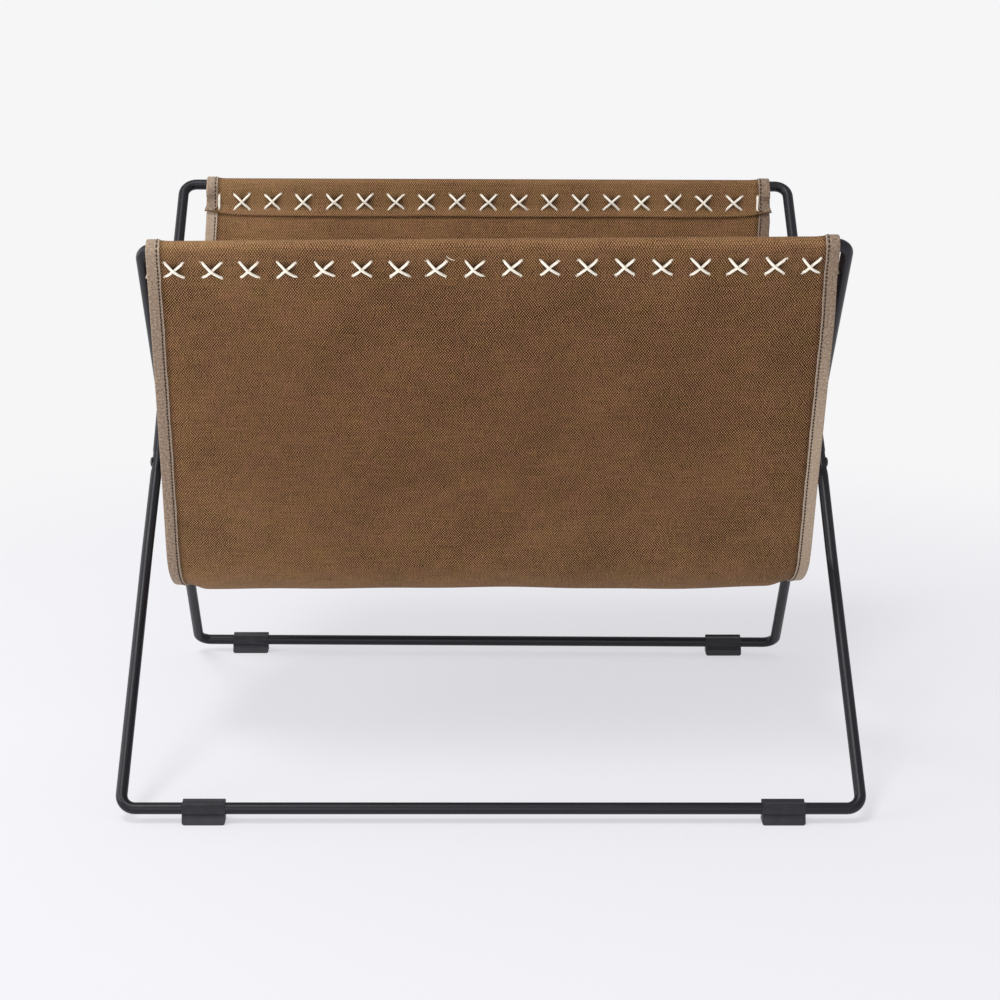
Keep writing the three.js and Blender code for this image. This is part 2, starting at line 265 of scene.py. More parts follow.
def rod_loop(name, node, lean, body, top_shift, floor_shift):
    """One frame: the rod is drawn up a leg, bent, drawn along the top bar, and so on all round. Its
    top and floor bars stand out of true sideways by the two shifts."""
    tuck = bend_radius / math.cos(leg_splay)
    floor_bend = bend_radius - lower_leg
    half_width = (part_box(node)[1].x - rod_radius - bend_radius + tuck
                  + math.tan(leg_splay) * floor_bend)

    def bend_centre(way, y):
        return Vector((way * (half_width - math.tan(leg_splay) * y - tuck), y, 0))

    top_bend = upper_leg - bend_radius
    bend_centres = [bend_centre(1, top_bend), bend_centre(-1, top_bend),
                    bend_centre(-1, floor_bend), bend_centre(1, floor_bend)]
    bend_angles = [math.pi / 2 - leg_splay] * 2 + [math.pi / 2 + leg_splay] * 2
    leg_start = bend_radius * math.sin(leg_splay) + floor_bend
    # Rings lie close together at the pivot, where the leg is pressed flat.
    above_pivot = [reach * mm for reach in (2, 4, 5, 6, 7, 8, 9, 10.5, 12, 60)]
    near_pivot = [*(-reach for reach in reversed(above_pivot)), 0, *above_pivot]
    up_stops = [leg_start, *near_pivot, top_bend + bend_radius * math.sin(leg_splay)]
    up_lengths = [(after - before) / math.cos(leg_splay)
                  for before, after in zip(up_stops, up_stops[1:])]
    top_lengths = [bend_centres[0].x / 4] * 8
    floor_lengths = [bend_centres[3].x / 4] * 8

    bm = bmesh.new()
    ring = bmesh.ops.create_circle(bm, segments=rod_sides, radius=rod_radius + coat_thickness)["verts"]
    outward = Vector((math.cos(leg_splay), math.sin(leg_splay), 0)) * bend_radius
    start = (Matrix.Translation(bend_centres[3] + outward) @ Matrix.Rotation(leg_splay, 4, "Z")
             @ Matrix.Rotation(-math.pi / 2, 4, "X"))
    bmesh.ops.transform(bm, matrix=start, verts=ring)
    edges = bm.edges[:]
    heading_angle = math.pi / 2 + leg_splay
    for centre, bend, lengths in zip(bend_centres, bend_angles,
                                     (up_lengths, top_lengths, up_lengths[::-1], floor_lengths)):
        heading = Vector((math.cos(heading_angle), math.sin(heading_angle), 0))
        edges = drawn_on(bm, edges, heading, lengths)
        turned = bmesh.ops.spin(bm, geom=edges, cent=centre, axis=(0, 0, 1), angle=bend,
                                steps=bend_steps, use_merge=False, use_duplicate=False)["geom_last"]
        edges = [part for part in turned if isinstance(part, bmesh.types.BMEdge)]
        heading_angle += bend
    bmesh.ops.remove_doubles(bm, verts=bm.verts, dist=0.02 * mm)
    bmesh.ops.recalc_face_normals(bm, faces=bm.faces)

    for vert in bm.verts:
        pressed = 1 - smooth_step(abs(vert.co.y), press_length, press_length + press_shoulder)
        if pressed > 0:
            leg_x = math.copysign(half_width - math.tan(leg_splay) * vert.co.y, vert.co.x)
            limit = rod_radius + coat_thickness - (press_depth + coat_thickness) * pressed
            vert.co.x = leg_x + min(max(vert.co.x - leg_x, -limit), limit)
            vert.co.z *= 1 + press_widening * pressed
    bmesh.ops.rotate(bm, verts=bm.verts, matrix=Matrix.Rotation(lean, 3, "X"))
    bmesh.ops.translate(bm, verts=bm.verts, vec=pivot)
    for vert in bm.verts:
        top = smooth_step(vert.co.z, pivot.z + 30 * mm, front_bar.z - 10 * mm)
        bottom = smooth_step(pivot.z - vert.co.z, 30 * mm, pivot.z - floor_bar.z - 5 * mm)
        vert.co.z += out_of_level(vert.co.x, vert.co.y < 0) * top
        vert.co.y -= askew(vert.co.x) * bottom * (vert.co.y > 0)
        shift = top_shift if vert.co.z > pivot.z else floor_shift
        vert.co.x += shift * smooth_step(abs(vert.co.z - pivot.z), 8 * mm, 60 * mm)

    piece = finished_piece(name, bm, powder_coat)
    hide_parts(node)
    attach(piece, body)
    return half_width


wide_half = rod_loop("wide_rod_loop", "wide_frame", leg_lean, "wide_side", -0.85 * mm, -0.5 * mm)
narrow_half = rod_loop("narrow_rod_loop", "narrow_frame", math.pi - leg_lean, "narrow_side",
                       0.5 * mm, 0.5 * mm)


# ---- Pivot rivets ----
# A steel rivet goes through both legs on each side. Its factory head is a low dome on the outside,
# and its tail is peened over on the inside. Both were painted black with the frames.

head_radius = 3 * mm
head_height = 1.4 * mm
tail_height = 0.9 * mm
shank_radius = 1.6 * mm
seat = rod_radius - press_depth + 0.05 * mm


def grained_material(name, grain_size, detail, tones, finish, relief=None, shown=(0, 1)):
    """A finish whose grain has two tones: finish holds the shader's other settings, relief how strong
    and how high its bump is, and shown the part of the noise that the tones run over."""
    material, tree = empty_material(name)
    place = add_node(tree, "TexCoord")
    grain = add_node(tree, "TexNoise", {"Vector": place.outputs["Object"], "Scale": 1 / grain_size,
                                        "Detail": detail})
    share = add_node(tree, "MapRange", {"Value": grain.outputs["Fac"], "From Min": shown[0],
                                        "From Max": shown[1]})
    tone = add_node(tree, "Mix", {0: share.outputs[0], 6: linear(tones[0]), 7: linear(tones[1])},
                    data_type="RGBA")
    shader = add_node(tree, "BsdfPrincipled", {"Base Color": tone.outputs[2], **finish})
    if relief:
        bump = add_node(tree, "Bump", {"Height": grain.outputs["Fac"], "Strength": relief[0],
                                       "Distance": relief[1]})
        tree.links.new(bump.outputs[0], shader.inputs["Normal"])
    add_node(tree, "OutputMaterial", {"Surface": shader.outputs[0]})
    return material


# Painted steel: a little glossier than the rod, and rubbed in specks 1.4 mm across.
rivet_steel = grained_material("painted_rivet_steel", 1.43 * mm, 4, ("232325", "3c3c3f"),
                               {"Roughness": 0.36}, relief=(0.2, 0.05 * mm), shown=(0.52, 0.7))


def turned_piece(name, outline, material):
    """A piece turned about X from an outline of places along X and radii, closed where it starts."""
    bm = bmesh.new()
    verts = [bmesh.ops.create_vert(bm, co=(along, 0, radius))["vert"][0] for along, radius in outline]
    edges = [bm.edges.new(pair) for pair in zip(verts, verts[1:])]
    bmesh.ops.spin(bm, geom=[*verts, *edges], cent=(0, 0, 0), axis=(1, 0, 0), angle=2 * math.pi,
                   steps=28, use_merge=True, use_duplicate=False)
    bmesh.ops.remove_doubles(bm, verts=bm.verts, dist=0.01 * mm)
    bmesh.ops.recalc_face_normals(bm, faces=bm.faces)
    bmesh.ops.translate(bm, verts=bm.verts, vec=pivot)
    return finished_piece(name, bm, material)


def dome(base_x, radius, height, way):
    """A low dome's outline, from its rim up to its middle."""
    steps = 7
    return [(base_x + way * height * math.sin(step / steps * math.pi / 2) ** 0.8,
             radius * math.cos(step / steps * math.pi / 2)) for step in range(steps + 1)]


for side, way in (("left", -1), ("right", 1)):
    head_x = way * (wide_half + seat)
    tail_x = way * (narrow_half - seat)
    outline = [
        *reversed(dome(tail_x, head_radius - 0.3 * mm, tail_height, -way)),
        (tail_x, shank_radius),
        (head_x, shank_radius),
        (head_x, head_radius),
        (head_x + way * 0.3 * mm, head_radius),
        *dome(head_x + way * 0.35 * mm, head_radius - 0.1 * mm, head_height - 0.35 * mm, way),
    ]
    rivet = turned_piece("rivet_" + side, outline, rivet_steel)
    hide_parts("pivot_rivet_" + side)
    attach(rivet, "wide_side")


# ---- Pivot spacers ----
# A thin black nylon washer sits on each rivet, between the legs. It is moulded, with a small chamfer
# round each rim, and keeps the two powder coated legs from rubbing.

spacer_radius = 4.2 * mm
rim_chamfer = 0.3 * mm
bore = shank_radius + 0.1 * mm

# Moulded nylon: dull black, with the mould's faint grain, 0.7 mm across.
nylon = grained_material("moulded_black_nylon", 0.67 * mm, 2, ("18181a", "252527"),
                         {"Roughness": 0.55, "IOR": 1.53}, relief=(0.2, 0.04 * mm))

for side, way in (("left", -1), ("right", 1)):
    near = way * (narrow_half + seat)
    away = way * (wide_half - seat)
    outline = [
        (near, bore), (near, spacer_radius - rim_chamfer),
        (near + way * rim_chamfer, spacer_radius), (away - way * rim_chamfer, spacer_radius),
        (away, spacer_radius - rim_chamfer), (away, bore), (near, bore),
    ]
    spacer = turned_piece("spacer_" + side, outline, nylon)
    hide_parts("pivot_spacer_" + side)
    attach(spacer, "wide_side")


# ---- Clip feet ----
# Four short channels of stiff black plastic snap down over the floor bars. Each has crisp top
# edges, two rounded lower corners and a pair of small lips under the bar. They were pushed on by
# hand, so each is up to a millimetre and a half off its place along the bar.

corner_round = 1.5 * mm
edge_round = 0.22 * mm
clearance = 0.15 * mm

# Moulded polypropylene: charcoal, satin, with the mould's fine spark-eroded grain and a few scuffs.
mould_grain = 0.83 * mm
scuff_size = 6.25 * mm
foot_plastic, tree = empty_material("moulded_polypropylene")
place = add_node(tree, "TexCoord")
grain = add_node(tree, "TexNoise", {"Vector": place.outputs["Object"], "Scale": 1 / mould_grain,
                                    "Detail": 3})
scuff = add_node(tree, "TexNoise", {"Vector": place.outputs["Object"], "Scale": 1 / scuff_size,
                                    "Detail": 5, "Roughness": 0.7})
scuff_share = add_node(tree, "MapRange", {"Value": scuff.outputs["Fac"], "From Min": 0.45,
                                          "From Max": 0.75})
tone = add_node(tree, "Mix", {0: scuff_share.outputs[0], 6: linear("202026"), 7: linear("2d2d34")},
                data_type="RGBA")
relief = add_node(tree, "Bump", {"Height": grain.outputs["Fac"], "Strength": 0.3,
                                 "Distance": 0.05 * mm})
shader = add_node(tree, "BsdfPrincipled", {
    "Base Color": tone.outputs[2], "Roughness": 0.42, "IOR": 1.49, "Specular IOR Level": 0.33,
    "Normal": relief.outputs[0],
})
add_node(tree, "OutputMaterial", {"Surface": shader.outputs[0]})


def clip_foot(name, node, body, slide, forward):
    """One foot, from its end outline drawn out along the bar and softened at its edges."""
    low, high = (corner + Vector((slide, -forward, 0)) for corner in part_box(node))
    centre_y = (low.y + high.y) / 2
    half = (high.y - low.y) / 2
    wall = rod_radius + clearance
    ceiling = floor_bar.z + wall
    lip = wall - 0.6 * mm
    lip_z = floor_bar.z - 3.4 * mm
    side = [(wall * 0.55, ceiling), (wall * 0.92, ceiling - 0.9 * mm), (wall, ceiling - 2 * mm),
            (wall, lip_z + 1.3 * mm), (lip, lip_z + 0.3 * mm), (lip, lip_z - 0.3 * mm),
            (wall, lip_z - 1.3 * mm), (wall, 0), (half, 0), (half, high.z)]
    outline = [*side, *((-y, z) for y, z in reversed(side))]

    bm = bmesh.new()
    verts = [bmesh.ops.create_vert(bm, co=(low.x, centre_y + y, z))["vert"][0] for y, z in outline]
    end = bmesh.ops.contextual_create(bm, geom=verts)["faces"]
    drawn = bmesh.ops.extrude_face_region(bm, geom=end)["geom"]
    bmesh.ops.translate(bm, vec=(high.x - low.x, 0, 0),
                        verts=[part for part in drawn if isinstance(part, bmesh.types.BMVert)])
    bmesh.ops.recalc_face_normals(bm, faces=bm.faces)
    corners = [edge for edge in bm.edges
               if all(vert.co.z < 0.01 * mm for vert in edge.verts)
               and abs(edge.verts[0].co.x - edge.verts[1].co.x) < 0.01 * mm]
    bmesh.ops.bevel(bm, geom=corners, affect="EDGES", offset=corner_round, segments=5, profile=0.5,
                    material=-1)
    crisp = [edge for edge in bm.edges if edge.calc_face_angle(0) > 0.7]
    bmesh.ops.bevel(bm, geom=crisp, affect="EDGES", offset=edge_round, segments=2, profile=0.5,
                    material=-1)
    piece = finished_piece(name, bm, foot_plastic)
    for face in piece.data.polygons:
        # The moulding's large faces are flat, and only its rounded edges are smooth.
        face.use_smooth = face.area < 10 * mm * mm
    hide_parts(node)
    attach(piece, body)


for place, body, slide in (("front_left", "wide_side", 1.1 * mm),
                           ("front_right", "wide_side", 0.8 * mm),
                           ("back_left", "narrow_side", 0.2 * mm),
                           ("back_right", "narrow_side", 1.5 * mm)):
    low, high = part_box("foot_" + place)
    forward = askew((low.x + high.x) / 2) if body == "narrow_side" else 0
    clip_foot("clip_foot_" + place, "foot_" + place, body, slide, forward)


# ---- Canvas sling ----
# One long panel of heavy waxed duck hangs from the two top bars as a deep pouch. Each end turns in
# over its bar and down inside, where the lacing holds it. The panel widens a little as it hangs.

canvas_thickness = 0.9 * mm
canvas_half_width = 182.3 * mm
# The panel widens with its depth below the bars and with the square of that depth, and leans to the
# left, all per metre. The back of the pouch is a little narrower, and lies further to the right.
canvas_spread = 0.14
canvas_swell = 0.15
canvas_lean = 0.004
back_narrowing = 0.005
back_shift = 0.8 * mm
# The tapes lift the pouch's two corners, its foot rises towards each, and waves slowly in between.
left_lift, right_lift = 2.6 * mm, 3.6 * mm
left_rise, right_rise = 0.8 * mm, 2.6 * mm
foot_wave = 0.6 * mm
corner_draw = 3 * mm
tape_gather = 1.1 * mm
pouch_radius = 50 * mm
pouch_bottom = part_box("sling_canvas")[0].z + canvas_thickness / 2
sleeve_radius = 3.85 * mm
hem_gap = 1.6 * mm
bound_sleeve_radius = 4.35 * mm
bound_hem_gap = 2.4 * mm
flap_length = 20.7 * mm
flap_short = 3.4 * mm
pinch_drop = 14 * mm
eyelet_pairs = 36
eyelet_pitch = 9.91 * mm
back_row_stretch = 1.009
upper_row = 6.1 * mm
lower_row = 15.8 * mm

bar_centre = Vector((front_bar.y, front_bar.z))
leg_heading = (Vector((pivot.y, pivot.z)) - bar_centre).normalized()


def half_section(radius, gap):
    """The cloth's middle line in half millimetre steps, from the front flap's end to the pouch's
    foot, with its length and the length at which the panel leaves the sleeve."""
    sleeve_steps, foot_steps = 24, 40
    centre = Vector((0, pouch_bottom + pouch_radius))
    rise = bar_centre - centre
    angle = math.atan2(rise.y, rise.x) + math.acos((pouch_radius - radius) / rise.length)
    out = Vector((math.cos(angle), math.sin(angle)))
    down = Vector((-out.y, out.x))
    pinch = bar_centre + down * pinch_drop + out * (radius - gap)
    to_pinch = pinch - bar_centre
    leave = math.atan2(to_pinch.y, to_pinch.x) + math.acos(radius / to_pinch.length)

    corners = [bar_centre + down * flap_length + out * (radius - gap), pinch]
    for step in range(sleeve_steps + 1):
        turn = leave + (angle - leave) * step / sleeve_steps
        corners.append(bar_centre + Vector((math.cos(turn), math.sin(turn))) * radius)
    sleeve_end = len(corners) - 1
    for step in range(foot_steps + 1):
        turn = angle + (1.5 * math.pi - angle) * step / foot_steps
        corners.append(centre + Vector((math.cos(turn), math.sin(turn))) * pouch_radius)

    lengths = [0]
    for before, after in zip(corners, corners[1:]):
        lengths.append(lengths[-1] + (after - before).length)
    count = round(lengths[-1] / (0.5 * mm))
    line, index = [], 0
    for step in range(count + 1):
        reach = lengths[-1] * step / count
        while index < len(corners) - 2 and lengths[index + 1] < reach:
            index += 1
        share = (reach - lengths[index]) / (lengths[index + 1] - lengths[index])
        line.append(corners[index].lerp(corners[index + 1], share))
    for _ in range(6):
        line = [line[0], *((before + now * 2 + after) / 4 for before, now, after
                           in zip(line, line[1:], line[2:])), line[-1]]
    return line, lengths[-1], lengths[sleeve_end]


plain_line, half_length, panel_start = half_section(sleeve_radius, hem_gap)
bound_line, _, _ = half_section(bound_sleeve_radius, bound_hem_gap)
cut_length = 2 * half_length


def on_line(line, share):
    """A point of a middle line, where share runs from 0 at the flap's end to 1 at the foot and back
    up the other side to 2."""
    if share > 1:
        point = on_line(line, 2 - share)
        return Vector((-point.x, point.y))
    place = max(share, 0) * (len(line) - 1)
    index = min(int(place), len(line) - 2)
    return line[index].lerp(line[index + 1], place - index)


def hung(across, along, out=0.0):
    """Where a place on the flat panel hangs, at a height over the cloth's middle. Positive heights
    are on the face that shows outside the pouch."""
    bound = smooth_step(abs(across), canvas_half_width - 12 * mm, canvas_half_width - 5 * mm)

    def section(share):
        return on_line(plain_line, share).lerp(on_line(bound_line, share), bound)

    share = along / half_length
    step = 0.6 * mm / half_length
    point = section(share)
    heading = section(share + step) - section(share - step)
    normal = Vector((heading.y, -heading.x)).normalized()

    # The rod bends away inside the sleeve's ends, so the cloth stands out round it there.
    from_bar = Vector((-abs(point.x), point.y)) - bar_centre
    if from_bar.length < 8 * mm:
        last = smooth_step(abs(across), canvas_half_width - 7 * mm, canvas_half_width)
        out += 2.2 * mm * last * smooth_step(from_bar.normalized().dot(leg_heading), 0.5, 1)

    # Below the hems the cloth is loose, and ripples by up to 0.6 mm.
    drop = (front_bar.z - point.y) / (front_bar.z - pouch_bottom)
    loose = smooth_step(drop, 0.12, 0.4)
    ripple = (0.4 * mm * math.sin(across / (21 * mm) + 0.6) * math.sin(along / (31 * mm) + 0.4)
              + 0.2 * mm * math.sin(across / (11 * mm) - along / (27 * mm) + 2.1))
    point = point + normal * (out + ripple * loose)

    # The tape is a little shorter than the canvas, and draws the pouch's corners up and in.
    foot = 1 - smooth_step(abs(along - half_length), 0, 80 * mm)
    left, right = canvas_half_width + across, canvas_half_width - across
    lift = (left_lift * (1 - smooth_step(left, 9 * mm, 18 * mm))
            + left_rise * math.exp(-left / (15 * mm))
            + right_lift * (1 - smooth_step(right, 7 * mm, 20 * mm))
            + right_rise * math.exp(-max(right, 0) / (38 * mm))
            + foot_wave * math.cos(2 * math.pi * (across + 10 * mm) / (250 * mm)))
    depth = front_bar.z - point.y
    behind = smooth_step(along, half_length, 1.6 * half_length)
    x = (across * (1 + canvas_spread * depth + canvas_swell * depth * depth
                   - back_narrowing * behind) - canvas_lean * depth + back_shift * behind)

    # It also gathers the right edge in, at the front hem and below the back flap.
    gathered = smooth_step(across, canvas_half_width - 30 * mm, canvas_half_width - 5 * mm)
    x -= tape_gather * gathered * (1 - behind) * (1 - smooth_step(depth, 12 * mm, 45 * mm))
    x -= (tape_gather * gathered * behind * smooth_step(depth, 21 * mm, 30 * mm)
          * (1 - smooth_step(depth, 60 * mm, 140 * mm)))
    drawn_in = corner_draw * foot * foot * math.exp(-max(min(left, right), 0) / (25 * mm))
    level = out_of_level(x, point.x < 0) * (1 - smooth_step(depth, 10 * mm, 90 * mm))
    return Vector((x - math.copysign(drawn_in, across), point.x, point.y + lift * foot + level))


def eyelet_x(index):
    """How far across the panel one pair of eyelets lies."""
    return (index - (eyelet_pairs - 1) / 2) * eyelet_pitch


def pulled_in(across, down):
    """How far the lacing draws the cloth in, at a place of the hem down from the bar."""
    depth = 0.0
    nearest = round(across / eyelet_pitch + (eyelet_pairs - 1) / 2)
    for index in (nearest - 1, nearest, nearest + 1):
        if 0 <= index < eyelet_pairs:
            for row in (upper_row, lower_row):
                away = math.hypot(across - eyelet_x(index), down - row)
                depth += 0.5 * mm * math.exp(-(away / (1.8 * mm)) ** 2)
    return depth


def cross_shadow(across, down, first):
    """How much painted shade the cloth takes round the middle of a cross, where first is the pair that
    starts the crosses.
    """
    place = across / eyelet_pitch + (eyelet_pairs - 1) / 2 - first
    cross = min(max(round((place - 0.5) / 2), 0), eyelet_pairs // 2 - 1 - first)
    away_x = (place - 0.5 - 2 * cross) * eyelet_pitch
    away_down = down - (upper_row + lower_row) / 2
    return math.exp(-(math.hypot(away_x - 0.8 * mm, away_down + 0.8 * mm) / (3.6 * mm)) ** 2)


# Rows lie close together at the hems, where the lacing dimples the cloth, and further apart below.
hem_end = panel_start + 26 * mm
panel_end = half_length - 54 * mm
spans = [(0, flap_length, 17), (flap_length, panel_start, 16), (panel_start, hem_end, 22),
         (hem_end, panel_end, 30), (panel_end, half_length, 14)]
half_rows = [start + (end - start) * step / count
             for start, end, count in spans for step in range(count)]
rows = [*half_rows, half_length, *(cut_length - row for row in reversed(half_rows))]
column_width = eyelet_pitch / 6
columns = 2 * math.ceil(canvas_half_width / column_width)

bm = bmesh.new()
cloth_uv = bm.loops.layers.uv.new("cloth")
# Two colour attributes: one makes the raised threads paler, for wear and as painted light, and one
# holds painted shade.
wear_and_painted_light = bm.verts.layers.float.new("wear_and_painted_light")
painted_shade = bm.verts.layers.float.new("painted_shade")
bmesh.ops.create_grid(bm, x_segments=columns, y_segments=len(rows) - 1, size=1)
flat_place = {}
for vert in bm.verts:
    across = min(max(vert.co.x * columns / 2 * column_width, -canvas_half_width), canvas_half_width)
    flat_place[vert] = (across, rows[round((vert.co.y + 1) / 2 * (len(rows) - 1))])
for face in bm.faces:
    for loop in face.loops:
        loop[cloth_uv].uv = flat_place[loop.vert]
for vert, (across, along) in flat_place.items():
    from_end = min(along, cut_length - along)
    inset = canvas_half_width - abs(across)
    if from_end < flap_length:
        # The flap is cut a little short towards its ends.
        short = (flap_short * math.exp(-inset / (13 * mm))
                 - 0.25 * mm * math.sin(across / (19 * mm)))
        from_end += short * (1 - from_end / flap_length)
        down = flap_length - from_end
    else:
        down = from_end - panel_start
    row_across = across if along <= half_length else across / back_row_stretch
    held = pulled_in(row_across, down) if down > 2 * mm else 0
    point = hung(across, from_end if along <= half_length else cut_length - from_end, -held)
    vert.co = point
    # Paler raised threads, partly wear and partly painted light: the sleeve crests and the hems are
    # worn and also painted lighter for the light from above, the lower pouch and its foot are worn and
    # also painted lighter for the light from the floor, and the left end, the back panel and the back
    # flap are painted lighter only for the light that falls on them.
    crest = math.exp(-((point.z - front_bar.z - 3 * mm) / (4 * mm)) ** 2)
    hem = 1 - smooth_step(front_bar.z - point.z, 4 * mm, 40 * mm)
    foot = 1 - smooth_step(point.z - pouch_bottom, 0, 28 * mm)
    lower = 1 - smooth_step(point.z - pouch_bottom, 10 * mm, 130 * mm)
    painted_left_light = 1 - smooth_step(canvas_half_width + across, 10 * mm, 130 * mm)
    behind = smooth_step(along, half_length, 1.3 * half_length)
    back_flap = from_end < flap_length and along > half_length
    vert[wear_and_painted_light] = ((0.4 + 0.5 * painted_left_light) * crest * (1 - 0.5 * behind) + 0.3 * hem + 0.5 * foot
                    + 0.27 * lower + 0.3 * painted_left_light + 0.2 * behind + 0.3 * back_flap)
    # Painted shade: the cloth is made darker just beside the tape's edge and round the middle of each
    # cross, where the tape and the cords shade it.
    tape_edge_shadow = math.exp(-((inset - 7.2 * mm) / (1.2 * mm)) ** 2)
    vert[painted_shade] = (0.45 * tape_edge_shadow
                      + cross_shadow(row_across, down, 1 if from_end < flap_length else 0))
bmesh.ops.recalc_face_normals(bm, faces=bm.faces)

# Waxed cotton duck: a plain weave with its warp nearly twice as close as its weft. Wax darkens the
# hollows. The raised threads are paler where they are worn, most of all over the bars, and paler
# again as painted light where the lamps and the floor light the cloth. Its tint wanders between red
# and olive. The real threads lie about 0.55 and 0.9 mm apart, and they are drawn 0.7 and 1 mm apart,
# so that they still show. They wander a little to and fro over a few millimetres.
warp_pitch = 0.7 * mm
weft_pitch = 1 * mm
wander_length = 3.85 * mm
wander_reach = 1.6 * mm
wax_patch = 14.3 * mm
wear_patch = 41.7 * mm
streak_length = 16.7 * mm
slub_length = 11.1 * mm
waxed_duck, tree = empty_material("waxed_cotton_duck")
cloth = add_node(tree, "UVMap", uv_map="cloth")
wander = add_node(tree, "TexNoise", {"Vector": cloth.outputs[0], "Scale": 1 / wander_length,
                                     "Detail": 2})
shift = add_node(tree, "VectorMath", {0: wander.outputs["Color"], 1: (0.5, 0.5, 0.5)},
                 operation="SUBTRACT")
shift = add_node(tree, "VectorMath", {0: shift.outputs[0], "Scale": wander_reach},
                 operation="SCALE")
thread_place = add_node(tree, "VectorMath", {0: cloth.outputs[0], 1: shift.outputs[0]},
                        operation="ADD")
axes = add_node(tree, "SeparateXYZ", {0: thread_place.outputs[0]})
crossing = []
for axis, pitch in enumerate((warp_pitch, weft_pitch)):
    phase = add_node(tree, "Math", {0: axes.outputs[axis], 1: math.pi / pitch}, operation="MULTIPLY")
    crossing.append(add_node(tree, "Math", {0: phase.outputs[0]}, operation="SINE"))
weave = add_node(tree, "Math", {0: crossing[0].outputs[0], 1: crossing[1].outputs[0]},
                 operation="MULTIPLY")

# The dye and wax took unevenly, in soft patches, and single threads are thicker or paler.
patch = add_node(tree, "TexNoise", {"Vector": cloth.outputs[0], "Scale": 1 / wax_patch, "Detail": 4,
                                    "Roughness": 0.6})
patch_share = add_node(tree, "MapRange", {"Value": patch.outputs["Fac"], "From Min": 0.36,
                                          "From Max": 0.64})
worn = add_node(tree, "TexNoise", {"Vector": cloth.outputs[0], "Scale": 1 / wear_patch,
                                   "Detail": 3})
worn_share = add_node(tree, "MapRange", {"Value": worn.outputs["Fac"], "From Min": 0.35,
                                         "From Max": 0.65, "To Min": -0.05, "To Max": 0.05})
uneven = []
for stretch in ((1 / streak_length, 0.95 / weft_pitch, 1), (0.98 / warp_pitch, 1 / slub_length, 1)):
    drawn_out = add_node(tree, "VectorMath", {0: cloth.outputs[0], 1: stretch}, operation="MULTIPLY")
    uneven.append(add_node(tree, "TexNoise", {"Vector": drawn_out.outputs[0], "Scale": 1,
                                              "Detail": 2}))
threads = add_node(tree, "Math", {0: uneven[0].outputs["Fac"], 1: uneven[1].outputs["Fac"]},
                   operation="ADD")
threads = add_node(tree, "MapRange", {"Value": threads.outputs[0], "From Min": 0.7, "From Max": 1.3,
                                      "To Min": -0.13, "To Max": 0.13})
# This attribute holds both wear and painted light on the raised threads.
wear_and_light = add_node(tree, "Attribute", attribute_name="wear_and_painted_light")
raised = add_node(tree, "MapRange", {"Value": weave.outputs[0], "From Min": 0, "From Max": 0.58})
for change in (threads, worn_share):
    raised = add_node(tree, "Math", {0: raised.outputs[0], 1: change.outputs[0]}, operation="ADD")
raised = add_node(tree, "Math", {0: wear_and_light.outputs["Fac"], 1: 0.24, 2: raised.outputs[0]},
                  operation="MULTIPLY_ADD", use_clamp=True)
low_tone = add_node(tree, "Mix", {0: patch_share.outputs[0], 6: linear("22100a"),
                                  7: linear("1d1207")}, data_type="RGBA")
high_tone = add_node(tree, "Mix", {0: patch_share.outputs[0], 6: linear("b07f5a"),
                                   7: linear("ad8153")}, data_type="RGBA")
pale_share = add_node(tree, "Math", {0: wear_and_light.outputs["Fac"], 1: 0.28}, operation="MULTIPLY")
high_tone = add_node(tree, "Mix", {0: pale_share.outputs[0], 6: high_tone.outputs[2],
                                   7: linear("bf9f74")}, data_type="RGBA")
tone = add_node(tree, "Mix", {0: raised.outputs[0], 6: low_tone.outputs[2],
                              7: high_tone.outputs[2]}, data_type="RGBA")
# Painted shade beside the tapes' edges and round the middles of the crosses.
dark = add_node(tree, "Attribute", attribute_name="painted_shade")
painted_shade_share = add_node(tree, "Math", {0: dark.outputs["Fac"], 1: 0.9}, operation="MULTIPLY")
tone = add_node(tree, "Mix", {0: painted_shade_share.outputs[0], 6: tone.outputs[2], 7: linear("26170e")},
                data_type="RGBA")
relief = add_node(tree, "Bump", {"Height": weave.outputs[0], "Strength": 0.45,
                                 "Distance": 0.15 * mm})
shader = add_node(tree, "BsdfPrincipled", {
    "Base Color": tone.outputs[2], "Roughness": 0.75, "IOR": 1.45, "Specular IOR Level": 0.12,
    "Sheen Weight": 0.02, "Sheen Roughness": 0.5, "Normal": relief.outputs[0],
})
add_node(tree, "OutputMaterial", {"Surface": shader.outputs[0]})

sling = finished_piece("canvas_sling", bm, waxed_duck)
thick = sling.modifiers.new("thickness", "SOLIDIFY")
thick.thickness = canvas_thickness
thick.offset = 0
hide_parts("sling_canvas")


def follow_both_frames(piece):
    """Bakes the piece's place into its mesh, and leaves it on neither frame."""
    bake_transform(piece)


follow_both_frames(sling)


# ---- Edge bindings ----
# Taupe cotton tape is folded over each long edge of the panel. It goes round the bars with the
# canvas, down to the loose edge of each flap, and stands out a little at its cut ends.

tape_reach = 6.5 * mm
tape_thickness = 0.45 * mm
tape_lie = canvas_thickness / 2 + tape_thickness / 2 + 0.05 * mm
stitch_inset = 5.2 * mm
stitch_length = 2.4 * mm

